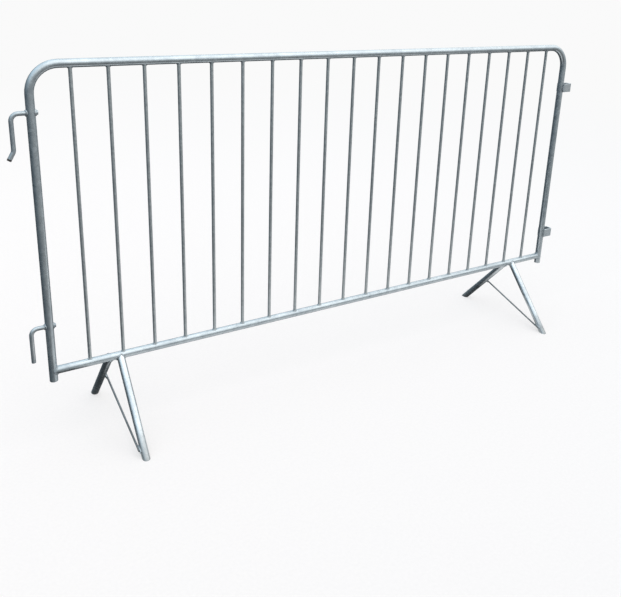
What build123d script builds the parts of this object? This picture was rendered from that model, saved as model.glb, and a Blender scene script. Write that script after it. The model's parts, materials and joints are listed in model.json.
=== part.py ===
from build123d import *
import math
import os

os.makedirs("parts", exist_ok=True)

# Fixed leg crowd control barrier, welded from steel tube, rod and strap.
# Millimetres. The origin is on the ground under the middle of the panel: X runs along the
# panel from the hook end (-X) to the eye end (+X), Y runs across it and Z is up.

# Driving dimensions
overall_length = 2000.0
overall_height = 1100.0
frame_diameter = 23.0
frame_wall = 1.5
corner_radius = 75.0
post_foot_height = 198.0
bottom_rail_height = 229.0

bar_count = 19
bar_pitch = 98.2
bar_diameter = 10.0

leg_centre = 812.0
leg_stagger = 33.0
leg_spread = 204.0
tie_rod_diameter = 6.0

hook_diameter = 12.0
hook_reach = 49.0
hook_bend_radius = 19.0
hook_stub = 6.0
upper_hook_height = 967.0
upper_hook_drop = 96.0
upper_hook_kick = 27.0
upper_hook_kick_angle = 30.0
lower_hook_height = 369.0
lower_hook_drop = 101.0

eye_strap_thickness = 5.0
eye_strap_width = 32.0
eye_reach = 46.0
eye_bend_radius = 3.0
upper_eye_height = 934.0
lower_eye_height = 332.0

# Rounding of the sheared rod ends and of the strap's long edges
cut_edge_radius = 0.8

# Clearance left at every welded joint, so that touching solids never overlap
joint_gap = 0.03

# Derived positions
frame_radius = frame_diameter / 2
post_x = overall_length / 2 - frame_radius
top_rail_height = overall_height - frame_radius
cope_radius = frame_radius + joint_gap

# Perimeter frame: one tube bent into an inverted U, both ends cut square and left open,
# with the two cross holes in the hook end post that take the hook rods
with BuildPart() as perimeter_frame:
    with BuildLine(Plane.XZ):
        FilletPolyline(
            (-post_x, post_foot_height),
            (-post_x, top_rail_height),
            (post_x, top_rail_height),
            (post_x, post_foot_height),
            radius=corner_radius,
        )
    with BuildSketch(Plane.XY.offset(post_foot_height)):
        with Locations((-post_x, 0)):
            Circle(frame_radius)
            Circle(frame_radius - frame_wall, mode=Mode.SUBTRACT)
    sweep()
    with Locations(
        Location((-post_x, 0, upper_hook_height), (0, 90, 0)),
        Location((-post_x, 0, lower_hook_height), (0, 90, 0)),
    ):
        Cylinder(hook_diameter / 2 + joint_gap, 2 * frame_diameter, mode=Mode.SUBTRACT)
perimeter_frame.part.label = "perimeter_frame"
export_step(perimeter_frame.part, "parts/perimeter_frame.step")

# Bottom rail: straight tube coped to fit between the two posts
with BuildPart() as bottom_rail:
    with BuildSketch(Plane.YZ):
        with Locations((0, bottom_rail_height)):
            Circle(frame_radius)
            Circle(frame_radius - frame_wall, mode=Mode.SUBTRACT)
    extrude(amount=post_x, both=True)
    with Locations((-post_x, 0, bottom_rail_height), (post_x, 0, bottom_rail_height)):
        Cylinder(cope_radius, 4 * frame_diameter, mode=Mode.SUBTRACT)
bottom_rail.part.label = "bottom_rail"
export_step(bottom_rail.part, "parts/bottom_rail.step")

# Infill bars: evenly pitched round rods, coped to the two rails at their ends
for number in range(1, bar_count + 1):
    bar_x = (number - (bar_count + 1) / 2) * bar_pitch
    with BuildPart() as infill_bar:
        with BuildSketch(Plane.XY.offset(bottom_rail_height)):
            with Locations((bar_x, 0)):
                Circle(bar_diameter / 2)
        extrude(amount=top_rail_height - bottom_rail_height)
        with Locations(
            Location((bar_x, 0, bottom_rail_height), (0, 90, 0)),
            Location((bar_x, 0, top_rail_height), (0, 90, 0)),
        ):
            Cylinder(cope_radius, 4 * bar_diameter, mode=Mode.SUBTRACT)
    bar_name = f"infill_bar_{number:02d}"
    infill_bar.part.label = bar_name
    export_step(infill_bar.part, f"parts/{bar_name}.step")

# Upper hook: round rod through the post, bent down and kicked outward at its tip
hook_x = -post_x - hook_reach
hook_root_x = -post_x + frame_radius + hook_stub
kick = math.radians(upper_hook_kick_angle)
kick_start_z = upper_hook_height - upper_hook_drop
kick_tip = (
    hook_x - upper_hook_kick * math.sin(kick),
    kick_start_z - upper_hook_kick * math.cos(kick),
)
with BuildPart() as upper_hook:
    with BuildLine(Plane.XZ) as upper_hook_path:
        FilletPolyline(
            (hook_root_x, upper_hook_height),
            (hook_x, upper_hook_height),
            (hook_x, kick_start_z),
            kick_tip,
            radius=hook_bend_radius,
        )
    with BuildSketch(Plane(upper_hook_path.line @ 0, z_dir=upper_hook_path.line % 0)):
        Circle(hook_diameter / 2)
    sweep()
    fillet(upper_hook.faces().filter_by(GeomType.PLANE).edges(), radius=cut_edge_radius)
upper_hook.part.label = "upper_hook"
export_step(upper_hook.part, "parts/upper_hook.step")

# Lower hook: the same rod bent once, its end dropping straight down
with BuildPart() as lower_hook:
    with BuildLine(Plane.XZ) as lower_hook_path:
        FilletPolyline(
            (hook_root_x, lower_hook_height),
            (hook_x, lower_hook_height),
            (hook_x, lower_hook_height - lower_hook_drop),
            radius=hook_bend_radius,
        )
    with BuildSketch(Plane(lower_hook_path.line @ 0, z_dir=lower_hook_path.line % 0)):
        Circle(hook_diameter / 2)
    sweep()
    fillet(lower_hook.faces().filter_by(GeomType.PLANE).edges(), radius=cut_edge_radius)
lower_hook.part.label = "lower_hook"
export_step(lower_hook.part, "parts/lower_hook.step")

# Eyes: flat strap bent into a U whose two legs hug the front and the back of the post
strap_centre_y = frame_radius + joint_gap + eye_strap_thickness / 2
strap_end_x = post_x + eye_reach - eye_strap_thickness / 2
for eye_name, eye_height in (("upper_eye", upper_eye_height), ("lower_eye", lower_eye_height)):
    with BuildPart() as eye:
        with BuildLine(Plane.XY.offset(eye_height)):
            FilletPolyline(
                (post_x, -strap_centre_y),
                (strap_end_x, -strap_centre_y),
                (strap_end_x, strap_centre_y),
                (post_x, strap_centre_y),
                radius=eye_bend_radius + eye_strap_thickness / 2,
            )
        with BuildSketch(
            Plane((post_x, -strap_centre_y, eye_height), x_dir=(0, 0, 1), z_dir=(1, 0, 0))
        ):
            Rectangle(eye_strap_width, eye_strap_thickness)
        sweep()
        fillet(eye.faces().filter_by(Axis.Z).edges(), radius=cut_edge_radius)
    eye.part.label = eye_name
    export_step(eye.part, f"parts/{eye_name}.step")

# Legs: two straight tubes in each pair, coped under the bottom rail and cut flat at the
# ground. The front leg stands on the +X side of its pair and the back leg on the -X side.
leg_length = math.hypot(leg_spread, bottom_rail_height)
leg_positions = (
    ("left_front_leg", -leg_centre + leg_stagger / 2, -1),
    ("left_back_leg", -leg_centre - leg_stagger / 2, 1),
    ("right_front_leg", leg_centre + leg_stagger / 2, -1),
    ("right_back_leg", leg_centre - leg_stagger / 2, 1),
)
for leg_name, leg_x, side in leg_positions:
    leg_direction = (0, side * leg_spread, -bottom_rail_height)
    with BuildPart() as leg:
        with BuildSketch(Plane((leg_x, 0, bottom_rail_height), z_dir=leg_direction)):
            Circle(frame_radius)
            Circle(frame_radius - frame_wall, mode=Mode.SUBTRACT)
        extrude(amount=leg_length + 2 * frame_diameter)
        with Locations(Location((leg_x, 0, bottom_rail_height), (0, 90, 0))):
            Cylinder(cope_radius, 4 * frame_diameter, mode=Mode.SUBTRACT)
        split(bisect_by=Plane.XY, keep=Keep.TOP)
    leg.part.label = leg_name
    export_step(leg.part, f"parts/{leg_name}.step")

# Tie rods: a thin rod in the gap between the two legs of each pair, from low on the front
# leg up to mid height on the back leg, lying against the inner side of both
tie_offset = leg_stagger / 2 - frame_radius - tie_rod_diameter / 2 - joint_gap
tie_front = (-190.0, 19.0)
tie_back = (105.0, 114.0)
for tie_name, pair_x in (("left_tie_rod", -leg_centre), ("right_tie_rod", leg_centre)):
    front_end = Vector(pair_x + tie_offset, *tie_front)
    back_end = Vector(pair_x - tie_offset, *tie_back)
    with BuildPart() as tie_rod:
        with BuildSketch(Plane(front_end, z_dir=back_end - front_end)):
            Circle(tie_rod_diameter / 2)
        extrude(amount=(back_end - front_end).length)
    tie_rod.part.label = tie_name
    export_step(tie_rod.part, f"parts/{tie_name}.step")
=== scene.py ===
import json
import math
import random

import bpy
from mathutils import Euler, Matrix, Vector


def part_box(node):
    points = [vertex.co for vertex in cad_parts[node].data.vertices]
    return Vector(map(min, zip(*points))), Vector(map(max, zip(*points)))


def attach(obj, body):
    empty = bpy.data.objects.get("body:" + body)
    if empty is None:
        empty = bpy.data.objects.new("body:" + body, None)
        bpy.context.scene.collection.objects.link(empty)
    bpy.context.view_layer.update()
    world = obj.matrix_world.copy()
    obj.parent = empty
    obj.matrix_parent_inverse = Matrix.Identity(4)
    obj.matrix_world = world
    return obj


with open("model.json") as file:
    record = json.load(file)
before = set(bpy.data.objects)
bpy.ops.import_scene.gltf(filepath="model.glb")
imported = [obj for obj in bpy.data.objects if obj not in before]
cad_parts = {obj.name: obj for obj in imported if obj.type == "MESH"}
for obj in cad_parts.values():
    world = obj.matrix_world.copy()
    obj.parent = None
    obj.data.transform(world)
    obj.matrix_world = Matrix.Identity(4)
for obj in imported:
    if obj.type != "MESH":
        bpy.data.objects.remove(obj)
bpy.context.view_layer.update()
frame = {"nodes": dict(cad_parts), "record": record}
nodes = frame["nodes"]
record = frame["record"]
mount_at = {mount["name"]: Vector(mount["pos_m"]) for mount in record["mounts"]}
scene = bpy.context.scene
AXIS_X = Vector((1, 0, 0))
AXIS_Z = Vector((0, 0, 1))

# ---------------------------------------------------------------- places read from the frame
rail_low, rail_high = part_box("bottom_rail")
frame_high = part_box("perimeter_frame")[1]
tube_r = (rail_high.z - rail_low.z) / 2
bottom_z = (rail_high.z + rail_low.z) / 2
top_z = frame_high.z - tube_r
post_x = frame_high.x - tube_r

bar_names = sorted(name for name in nodes if name.startswith("infill_bar_"))
bar_low, bar_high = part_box(bar_names[0])
bar_r = (bar_high.x - bar_low.x) / 2

# The upper hook's tip is kicked outward at this angle from straight down
KICK_ANGLE = math.radians(30)
hook_low, hook_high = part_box("upper_hook")
hook_r = (hook_high.y - hook_low.y) / 2
hook_tip = (hook_low.x + hook_r * math.cos(KICK_ANGLE), 0, hook_low.z + hook_r * math.sin(KICK_ANGLE))


def centre(name):
    low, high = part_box(name)
    return (low + high) / 2


# ---------------------------------------------------------------- materials
class Graph:
    """A small helper that adds shader nodes and links them by socket name."""

    def __init__(self, tree):
        self.tree = tree
        tree.nodes.clear()

    def put(self, node, socket, value):
        if isinstance(value, bpy.types.NodeSocket):
            self.tree.links.new(value, node.inputs[socket])
        else:
            node.inputs[socket].default_value = value

    def add(self, kind, inputs=None, **settings):
        node = self.tree.nodes.new(kind)
        for key, value in settings.items():
            setattr(node, key, value)
        for socket, value in (inputs or {}).items():
            self.put(node, socket, value)
        return node

    def maths(self, operation, first, second):
        return self.add("ShaderNodeMath", {0: first, 1: second}, operation=operation).outputs[0]

    def spread(self, value, low, high, to_low=0.0, to_high=1.0):
        inputs = {"Value": value, "From Min": low, "From Max": high, "To Min": to_low, "To Max": to_high}
        return self.add("ShaderNodeMapRange", inputs).outputs["Result"]

    def noise(self, vector, scale, detail, roughness=0.5, distortion=0.0):
        inputs = {"Vector": vector, "Scale": scale, "Detail": detail, "Roughness": roughness,
                  "Distortion": distortion}
        return self.add("ShaderNodeTexNoise", inputs).outputs["Fac"]

    def distance(self, place, point):
        node = self.add("ShaderNodeVectorMath", {0: place, 1: point}, operation="DISTANCE")
        return node.outputs["Value"]

    def mix_colour(self, factor, first, second, blend="MIX"):
        node = self.add("ShaderNodeMix", {0: factor, 6: first, 7: second}, data_type="RGBA",
                        blend_type=blend, clamp_factor=True)
        return node.outputs[2]

    def finish(self, shader, output_kind="ShaderNodeOutputMaterial"):
        output = self.add(output_kind)
        self.tree.links.new(shader.outputs[0], output.inputs["Surface"])


def new_material(name):
    material = bpy.data.materials.new(name)
    material.use_nodes = True
    return material, Graph(material.node_tree)


DRAIN_RUN = (0.66, 0.69, 0.70, 1.0)
PIT = (0.22, 0.23, 0.24, 1.0)
SCRATCH = (0.78, 0.80, 0.81, 1.0)
SPLASH_DIRT = (0.17, 0.165, 0.155, 1.0)
RUBBED = (0.72, 0.72, 0.71, 1.0)
# Near black colour for the tip of the upper hook
DARK_TIP = (0.030, 0.026, 0.024, 1.0)
METALLIC = 0.92
BUMP_STRENGTH = 0.20
BUMP_DEPTH = 0.0008


def galvanised(name, tone, roughness, spangle_mm, along=(1, 1, 1), dirt_top=None, worn=None, dark_tip=None,
               lumps=0.0):
    """Hot dip zinc: crystal spangle, cloudy dull patches, fine pitting, drain runs and scratches.

    along stretches the runs along one axis and dirt_top is the height that splash dirt fades out at.
    worn is a (place, radius) that has been rubbed bright, and dark_tip is a (place, radius) round a tip
    that is coloured near black. lumps adds coarse relief for weld metal.
    """
    material, g = new_material(name)
    place = g.add("ShaderNodeTexCoord").outputs["Object"]
    stretched = g.add("ShaderNodeMapping", {"Vector": place, "Scale": along}).outputs["Vector"]

    spangle = {"Vector": place, "Scale": 1000.0 / spangle_mm}
    cells = g.add("ShaderNodeTexVoronoi", spangle)
    crystal = g.add("ShaderNodeSeparateColor", {"Color": cells.outputs["Color"]}).outputs["Red"]
    borders = g.add("ShaderNodeTexVoronoi", spangle, feature="DISTANCE_TO_EDGE").outputs["Distance"]
    seam = g.spread(borders, 0.0, 0.12, 1.0, 0.0)
    clouds = g.noise(place, 14.0, 4.0, 0.55, 0.4)
    runs = g.noise(stretched, 34.0, 5.0, 0.6, 0.6)
    grit = g.noise(place, 900.0, 3.0, 0.65)
    pits = g.spread(g.noise(place, 260.0, 2.0), 0.64, 0.76)
    scratch_places = g.add("ShaderNodeMapping", {
        "Vector": stretched, "Rotation": (0.3, 0.5, 0.2), "Scale": (9, 9, 1.6)}).outputs["Vector"]
    scratches = g.spread(g.noise(scratch_places, 55.0, 2.0, 0.7), 0.70, 0.74)

    plain = (*tone, 1.0)
    light = tuple(min(1.0, channel * 1.20) for channel in tone) + (1.0,)
    dull = (tone[0] * 0.70, tone[1] * 0.72, tone[2] * 0.74, 1.0)
    colour = g.mix_colour(g.spread(clouds, 0.34, 0.68), dull, plain)
    colour = g.mix_colour(g.maths("MULTIPLY", crystal, 0.42), colour, light)
    colour = g.mix_colour(g.maths("MULTIPLY", g.spread(runs, 0.52, 0.72), 0.30), colour, DRAIN_RUN)
    colour = g.mix_colour(g.maths("MULTIPLY", seam, 0.14), colour, dull)
    colour = g.mix_colour(g.maths("MULTIPLY", pits, 0.35), colour, PIT)
    colour = g.mix_colour(g.maths("MULTIPLY", scratches, 0.35), colour, SCRATCH)

    rough = g.maths("ADD", g.spread(clouds, 0.3, 0.7, 0.10, -0.04), roughness)
    rough = g.maths("ADD", rough, g.maths("MULTIPLY", g.maths("SUBTRACT", crystal, 0.5), 0.12))
    rough = g.maths("ADD", rough, g.maths("MULTIPLY", grit, 0.06))
    metal = METALLIC

    if dirt_top is not None:
        height = g.add("ShaderNodeSeparateXYZ", {"Vector": place}).outputs["Z"]
        ragged = g.maths("ADD", height, g.spread(clouds, 0.3, 0.7, -0.015, 0.015))
        patches = g.spread(runs, 0.3, 0.6, 0.4, 1.0)
        dirt = g.maths("MULTIPLY", g.spread(ragged, 0.0, dirt_top, 0.75, 0.0), patches)
        colour = g.mix_colour(dirt, colour, SPLASH_DIRT)
        rough = g.maths("ADD", rough, g.maths("MULTIPLY", dirt, 0.25))
        metal = g.maths("SUBTRACT", metal, g.maths("MULTIPLY", dirt, 0.5))
    if worn is not None:
        spot, radius = worn
        near = g.spread(g.distance(place, spot), radius * 0.4, radius, 1.0, 0.0)
        rub = g.maths("MULTIPLY", near, g.spread(grit, 0.35, 0.6, 0.5, 1.0))
        colour = g.mix_colour(g.maths("MULTIPLY", rub, 0.6), colour, RUBBED)
        rough = g.maths("SUBTRACT", rough, g.maths("MULTIPLY", rub, 0.10))
    # Round the given place the tip is coloured near black and made far less metallic
    if dark_tip is not None:
        spot, radius = dark_tip
        blackened = g.spread(g.distance(place, spot), radius, radius * 1.12, 1.0, 0.0)
        colour = g.mix_colour(blackened, colour, DARK_TIP)
        metal = g.maths("SUBTRACT", metal, g.maths("MULTIPLY", blackened, 0.8))

    relief = g.maths("ADD", g.maths("MULTIPLY", runs, 0.55), g.maths("MULTIPLY", grit, 0.07))
    relief = g.maths("ADD", relief, g.maths("MULTIPLY", seam, -0.10))
    relief = g.maths("ADD", relief, g.maths("MULTIPLY", pits, -0.35))
    relief = g.maths("ADD", relief, g.maths("MULTIPLY", g.noise(place, 190.0, 2.0), lumps))
    bump = g.add("ShaderNodeBump", {"Height": relief, "Strength": BUMP_STRENGTH, "Distance": BUMP_DEPTH})
    g.finish(g.add("ShaderNodeBsdfPrincipled", {
        "Base Color": colour, "Metallic": metal, "Roughness": rough, "Normal": bump.outputs["Normal"]}))
    return material


finishes = {
    "frame_zinc": galvanised("frame_zinc", (0.49, 0.525, 0.545), 0.24, 10.0, (1, 1, 0.25)),
    "bar_zinc": galvanised("bar_zinc", (0.50, 0.52, 0.52), 0.32, 7.0, (1, 1, 0.2)),
    "leg_zinc": galvanised("leg_zinc", (0.60, 0.625, 0.64), 0.18, 9.0, (1, 0.5, 0.4), dirt_top=0.07),
    "hook_zinc": galvanised("hook_zinc", (0.44, 0.475, 0.495), 0.38, 6.0, (1, 1, 0.3),
                            worn=(mount_at["lower_hook_drop"], 0.04), dark_tip=(hook_tip, hook_r * 1.22)),
    "strap_zinc": galvanised("strap_zinc", (0.47, 0.50, 0.52), 0.40, 7.0, (0.4, 1, 1),
                             worn=(mount_at["upper_eye_loop"], 0.03)),
    # The tie rods get a far darker tone than the other zinc
    "tie_rod_zinc": galvanised("tie_rod_zinc", (0.22, 0.23, 0.235), 0.42, 5.0, (1, 0.3, 1), dirt_top=0.06),
}
weld_zinc = galvanised("weld_zinc", (0.43, 0.455, 0.47), 0.42, 4.0, lumps=1.2)
slot_of = {part["node"]: part["material_slot"] for part in record["subparts"]}
for node_name, node in nodes.items():
    node.data.materials.clear()
    node.data.materials.append(finishes[slot_of[node_name]])


# ---------------------------------------------------------------- weld beads
def saddle(origin, branch, main, branch_r, main_r, steps):
    """Closed line where a round branch leaves a round main tube, seen from origin along branch."""
    side = branch.cross(main).normalized()
    up = side.cross(branch).normalized()
    branch_flat = branch - branch.dot(main) * main
    line = []
    for step in range(steps):
        angle = 2 * math.pi * step / steps
        ring = branch_r * (math.cos(angle) * side + math.sin(angle) * up)
        ring_flat = ring - ring.dot(main) * main
        a = branch_flat.dot(branch_flat)
        b = ring_flat.dot(branch_flat)
        c = ring_flat.dot(ring_flat) - main_r**2
        along = (-b + math.sqrt(max(b * b - a * c, 0.0))) / a
        line.append(origin + ring + along * branch)
    return line


RIPPLE_MM = 1.9
BEAD_SIDES = 9


def bead_mesh(line, radius, rng, closed=True):
    """Vertices and faces of a rippled weld bead run along a line of points."""
    count = len(line)
    spans = count if closed else count - 1
    length = sum((line[(i + 1) % count] - line[i]).length for i in range(spans))
    ripples = max(3, round(length * 1000 / RIPPLE_MM))
    wobble = [rng.uniform(-1, 1) for _ in range(count)]
    vertices, faces = [], []
    for i, point in enumerate(line):
        before = line[(i - 1) % count] if closed or i else point
        after = line[(i + 1) % count] if closed or i < count - 1 else point
        tangent = (after - before).normalized()
        helper = AXIS_Z if abs(tangent.z) < 0.9 else AXIS_X
        normal = tangent.cross(helper).normalized()
        binormal = tangent.cross(normal)
        phase = (i / count * ripples) % 1.0
        swell = 1.0 + 0.16 * (phase - 0.5) + 0.09 * (wobble[i] + wobble[(i + 1) % count]) / 2
        if not closed:
            swell *= math.sin(math.pi * (0.12 + 0.76 * i / (count - 1))) ** 0.5
        for k in range(BEAD_SIDES):
            angle = 2 * math.pi * k / BEAD_SIDES
            spoke = math.cos(angle) * normal + math.sin(angle) * binormal
            vertices.append(point + radius * swell * spoke)
    for i in range(spans):
        here, there = i * BEAD_SIDES, (i + 1) % count * BEAD_SIDES
        for k in range(BEAD_SIDES):
            turn = (k + 1) % BEAD_SIDES
            faces.append((here + k, here + turn, there + turn, there + k))
    if not closed:
        faces.append(tuple(range(BEAD_SIDES - 1, -1, -1)))
        faces.append(tuple((count - 1) * BEAD_SIDES + k for k in range(BEAD_SIDES)))
    return vertices, faces


def smooth_object(name, vertices, faces, material):
    mesh = bpy.data.meshes.new(name)
    mesh.from_pydata([tuple(vertex) for vertex in vertices], [], faces)
    mesh.update()
    for polygon in mesh.polygons:
        polygon.use_smooth = True
    mesh.materials.append(material)
    item = bpy.data.objects.new(name, mesh)
    scene.collection.objects.link(item)
    return item


def weld(name, beads):
    """One piece from several beads, riding on the welded body."""
    vertices, faces = [], []
    for bead_vertices, bead_faces in beads:
        start = len(vertices)
        vertices.extend(bead_vertices)
        faces.extend(tuple(index + start for index in face) for face in bead_faces)
    piece = smooth_object(name, vertices, faces, weld_zinc)
    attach(piece, "root")


rng = random.Random(7)
# How far a bead's middle line stands off the two surfaces that it joins
PROUD = 0.0004
BAR_BEAD_R = 0.0017
RAIL_BEAD_R = 0.0024
LEG_BEAD_R = 0.0025
HOOK_BEAD_R = 0.0026
EYE_BEAD_R = 0.0022
ROD_BEAD_R = 0.0027

for place_name, rail_z, direction in (("top", top_z, -AXIS_Z), ("bottom", bottom_z, AXIS_Z)):
    rings = []
    for bar_name in bar_names:
        root_point = Vector((centre(bar_name).x, 0, rail_z))
        line = saddle(root_point, direction, AXIS_X, bar_r + PROUD, tube_r + PROUD, 44)
        rings.append(bead_mesh(line, BAR_BEAD_R, rng))
    weld(f"weld_bars_{place_name}", rings)

for side_name, side in (("left", -1), ("right", 1)):
    root_point = Vector((side * post_x, 0, bottom_z))
    line = saddle(root_point, -side * AXIS_X, AXIS_Z, tube_r + PROUD, tube_r + PROUD, 96)
    weld(f"weld_rail_{side_name}", [bead_mesh(line, RAIL_BEAD_R, rng)])

leg_axis = {}
for leg in ("left_front", "left_back", "right_front", "right_back"):
    top = Vector((centre(f"{leg}_leg").x, 0, bottom_z))
    direction = (Vector((top.x, mount_at[f"{leg}_foot"].y, 0)) - top).normalized()
    leg_axis[leg] = (top, direction)
    line = saddle(top, direction, AXIS_X, tube_r + PROUD, tube_r + PROUD, 96)
    weld(f"weld_{leg}_leg", [bead_mesh(line, LEG_BEAD_R, rng)])

for hook in ("upper_hook", "lower_hook"):
    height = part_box(hook)[1].z - hook_r
    rings = []
    for direction in (-AXIS_X, AXIS_X):
        line = saddle(Vector((-post_x, 0, height)), direction, AXIS_Z, hook_r + PROUD, tube_r + PROUD, 64)
        rings.append(bead_mesh(line, HOOK_BEAD_R, rng))
    weld(f"weld_{hook}", rings)

# Four upright beads on each eye: one at the cut end of each strap leg, where it meets the front
# or back of the post, and one in each inner corner where the strap leaves the post
EYE_BEADS = ((post_x - 0.0006, tube_r + 0.0012), (post_x + 0.0075, tube_r - 0.0016))
EYE_BEAD_INSET = 0.002
EYE_BEAD_STEPS = 30
for eye in ("upper_eye", "lower_eye"):
    low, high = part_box(eye)
    bead_start = low.z + EYE_BEAD_INSET
    bead_length = high.z - low.z - 2 * EYE_BEAD_INSET
    lines = []
    for side in (-1, 1):
        for x, y in EYE_BEADS:
            line = [Vector((x, side * y, bead_start + bead_length * i / EYE_BEAD_STEPS))
                    for i in range(EYE_BEAD_STEPS + 1)]
            lines.append(bead_mesh(line, EYE_BEAD_R, rng, closed=False))
    weld(f"weld_{eye}", lines)

# Two short beads along a tie rod where it lies against each leg
ROD_R = 0.003
ROD_BEAD_OFFSET = 0.003
ROD_BEAD_LENGTH = 0.026
ROD_BEAD_STEPS = 20
for pair in ("left", "right"):
    low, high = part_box(f"{pair}_tie_rod")
    start = Vector((high.x - ROD_R, low.y, low.z + ROD_R))
    end = Vector((low.x + ROD_R, high.y, high.z - ROD_R))
    run = (end - start).normalized()
    edge = run.cross(AXIS_X).normalized()
    lines = []
    for leg, inward in (("front", -1), ("back", 1)):
        top, direction = leg_axis[f"{pair}_{leg}"]
        across = (start.y - top.y) * run.z - (start.z - top.z) * run.y
        along = across / (direction.y * run.z - direction.z * run.y)
        seat = top + along * direction + Vector((inward * (tube_r + 0.0006), 0, 0))
        for offset in (-1, 1):
            middle = seat + edge * offset * ROD_BEAD_OFFSET
            line = [middle + run * (ROD_BEAD_LENGTH * (i / ROD_BEAD_STEPS - 0.5))
                    for i in range(ROD_BEAD_STEPS + 1)]
            lines.append(bead_mesh(line, ROD_BEAD_R, rng, closed=False))
    weld(f"weld_{pair}_tie_rod", lines)


# ---------------------------------------------------------------- floor
def bowl(flat_r, wall_r, height, rings, sides):
    """A round studio floor that curves up into a wall all the way round."""
    profile = [(flat_r * 0.3, 0.0), (flat_r * 0.7, 0.0)]
    for i in range(rings + 1):
        angle = math.pi / 2 * i / rings
        profile.append((flat_r + (wall_r - flat_r) * math.sin(angle), height * (1 - math.cos(angle))))
    turns = [2 * math.pi * k / sides for k in range(sides)]
    vertices = [(0.0, 0.0, 0.0)]
    for r, z in profile:
        vertices += [(r * math.cos(turn), r * math.sin(turn), z) for turn in turns]
    faces = [(0, 1 + k, 1 + (k + 1) % sides) for k in range(sides)]
    for ring in range(len(profile) - 1):
        base, above = 1 + ring * sides, 1 + (ring + 1) * sides
        for k in range(sides):
            turn = (k + 1) % sides
            faces.append((base + k, above + k, above + turn, base + turn))
    return vertices, faces


# Near the barrier the paper takes light and shadow. Further out it glows evenly, up to this white.
BACKDROP_WHITE = 0.955
PAPER_NEAR, PAPER_FAR = 2.5, 8.0

paper, g = new_material("studio_paper")
paper_place = g.add("ShaderNodeTexCoord").outputs["Object"]
grain = g.noise(paper_place, 120.0, 2.0)
far = g.spread(g.add("ShaderNodeVectorMath", {0: paper_place}, operation="LENGTH").outputs["Value"],
               PAPER_NEAR, PAPER_FAR)
paper_tone = g.maths("MULTIPLY", g.spread(grain, 0.3, 0.7, 0.31, 0.33), g.maths("SUBTRACT", 1.0, far))
# A slightly warm paper, so that it looks neutral under the cool light
paper_colour = g.add("ShaderNodeCombineColor", {
    "Red": g.maths("MULTIPLY", paper_tone, 1.045),
    "Green": g.maths("MULTIPLY", paper_tone, 0.95),
    "Blue": g.maths("MULTIPLY", paper_tone, 0.92)}).outputs["Color"]
matt = g.add("ShaderNodeBsdfDiffuse", {"Color": paper_colour, "Roughness": 0.6})
lift = g.add("ShaderNodeEmission", {
    "Color": (1, 1, 1, 1), "Strength": g.spread(far, 0.0, 1.0, 0.555, BACKDROP_WHITE)})
g.finish(g.add("ShaderNodeAddShader", {0: matt.outputs[0], 1: lift.outputs[0]}))

floor_vertices, floor_faces = bowl(9.0, 14.0, 8.0, 16, 96)
floor = smooth_object("studio_floor", floor_vertices, floor_faces, paper)
floor.visible_glossy = False
floor.visible_diffuse = False
floor.visible_shadow = False

# A glowing card just under the floor, seen only in reflections. It lightens the rail's underside.
CARD_Z = -0.01
CARD_X = (-0.85, 1.80)
CARD_Y = (-1.20, 0.20)
card_glow, g = new_material("bounce_card")
card_place = g.add("ShaderNodeTexCoord").outputs["Object"]
card_y = g.add("ShaderNodeSeparateXYZ", {"Vector": card_place}).outputs["Y"]
front_fade = g.spread(card_y, -0.90, -0.40)
back_fade = g.spread(card_y, 0.02, 0.12, 1.0, 0.0)
clear = g.add("ShaderNodeBsdfTransparent")
glow = g.add("ShaderNodeEmission", {"Color": (0.96, 0.99, 1, 1), "Strength": 0.95})
g.finish(g.add("ShaderNodeMixShader", {
    0: g.maths("MULTIPLY", front_fade, back_fade), 1: clear.outputs[0], 2: glow.outputs[0]}))
card_corners = [(CARD_X[0], CARD_Y[0], CARD_Z), (CARD_X[1], CARD_Y[0], CARD_Z),
                (CARD_X[1], CARD_Y[1], CARD_Z), (CARD_X[0], CARD_Y[1], CARD_Z)]
card = smooth_object("bounce_card", card_corners, [(0, 1, 2, 3)], card_glow)
card.visible_camera = False
card.visible_shadow = False
card.visible_diffuse = False

# ---------------------------------------------------------------- light
# Surrounding light by the height angle that it comes from, in degrees above the horizon
SKY_STOPS = (
    (-90, (0.040, 0.042, 0.043)),
    (-55, (0.055, 0.058, 0.059)),
    (-35, (0.105, 0.110, 0.112)),
    (-20, (0.215, 0.230, 0.236)),
    (-5, (0.250, 0.268, 0.276)),
    (8, (0.370, 0.395, 0.405)),
    (22, (0.880, 0.930, 0.950)),
    (35, (1.240, 1.290, 1.310)),
    (90, (1.250, 1.290, 1.300)),
)
# The side that the stronger light comes from, and the gains on the dim side, bright side and top
BRIGHT_SIDE = (0.80, -0.60, 0.0)
DIM_GAIN, BRIGHT_GAIN, TOP_GAIN = 0.40, 1.95, 1.22
DIM_TINT = (0.80, 0.98, 1.11, 1.0)

world = bpy.data.worlds.new("studio")
world.use_nodes = True
scene.world = world
g = Graph(world.node_tree)
direction = g.add("ShaderNodeTexCoord").outputs["Generated"]
upward = g.add("ShaderNodeSeparateXYZ", {"Vector": direction}).outputs["Z"]
sky = g.add("ShaderNodeValToRGB", {"Fac": g.spread(upward, -1.0, 1.0)})
ramp = sky.color_ramp.elements
for index, (degrees, colour) in enumerate(SKY_STOPS):
    position = (math.sin(math.radians(degrees)) + 1) / 2
    stop = ramp[0] if index == 0 else ramp[-1] if index == len(SKY_STOPS) - 1 else ramp.new(position)
    stop.position, stop.color = position, (*colour, 1.0)
sideways = g.add("ShaderNodeVectorMath", {0: direction, 1: BRIGHT_SIDE}, operation="DOT_PRODUCT")
low_gain = g.spread(sideways.outputs["Value"], -1.0, 1.0, DIM_GAIN, BRIGHT_GAIN)
overhead = g.spread(upward, 0.35, 0.80)
gain = g.add("ShaderNodeMix", {0: overhead, 2: low_gain, 3: TOP_GAIN}).outputs[0]
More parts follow.
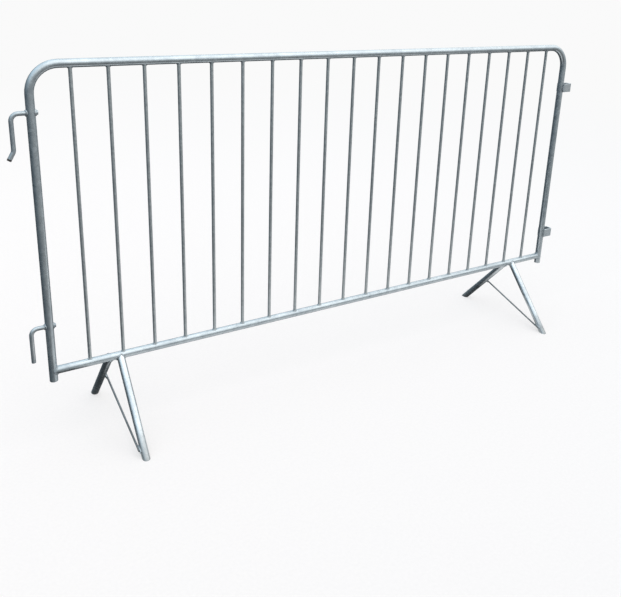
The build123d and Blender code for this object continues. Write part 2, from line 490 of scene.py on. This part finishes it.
tint = g.mix_colour(g.spread(sideways.outputs["Value"], -0.9, 0.5), DIM_TINT, (1.0, 1.0, 1.0, 1.0))
tinted_sky = g.mix_colour(1.0, sky.outputs["Color"], tint, "MULTIPLY")
room = g.add("ShaderNodeBackground", {"Color": tinted_sky, "Strength": gain})
backdrop = g.add("ShaderNodeBackground", {
    "Color": (BACKDROP_WHITE, BACKDROP_WHITE, BACKDROP_WHITE, 1), "Strength": 1.0})
seen = g.add("ShaderNodeLightPath").outputs["Is Camera Ray"]
g.finish(g.add("ShaderNodeMixShader", {0: seen, 1: room.outputs[0], 2: backdrop.outputs[0]}),
         "ShaderNodeOutputWorld")

LAMP_PLACE = Vector((0.3, -0.8, 3.6))
LAMP_TARGET = Vector((0, 0, 0.4))
lamp_data = bpy.data.lights.new("overhead", "AREA")
lamp_data.shape = "RECTANGLE"
lamp_data.size, lamp_data.size_y = 4.2, 2.6
lamp_data.energy = 20
lamp = bpy.data.objects.new("overhead", lamp_data)
lamp.location = LAMP_PLACE
lamp.rotation_euler = (LAMP_TARGET - LAMP_PLACE).to_track_quat("-Z", "Y").to_euler()
scene.collection.objects.link(lamp)

# ---------------------------------------------------------------- camera
# Metres and degrees. Azimuth is the turn from +Y towards +X, and pitch is how far it looks down.
CAMERA_PLACE = (-1.331, -1.911, 1.3115)
CAMERA_AZIMUTH, CAMERA_PITCH, CAMERA_ROLL = 31.79, 17.46, 1.79
camera_data = bpy.data.cameras.new("camera")
camera_data.sensor_fit = "HORIZONTAL"
camera_data.sensor_width = 36.0
camera_data.lens = 41.78
camera_data.shift_y = -0.1494
camera = bpy.data.objects.new("camera", camera_data)
aim = Euler((math.radians(90 - CAMERA_PITCH), 0, -math.radians(CAMERA_AZIMUTH))).to_matrix().to_4x4()
roll = Matrix.Rotation(math.radians(CAMERA_ROLL), 4, "Z")
camera.matrix_world = Matrix.Translation(CAMERA_PLACE) @ aim @ roll
scene.collection.objects.link(camera)
scene.camera = camera
scene.view_settings.view_transform = "Standard"
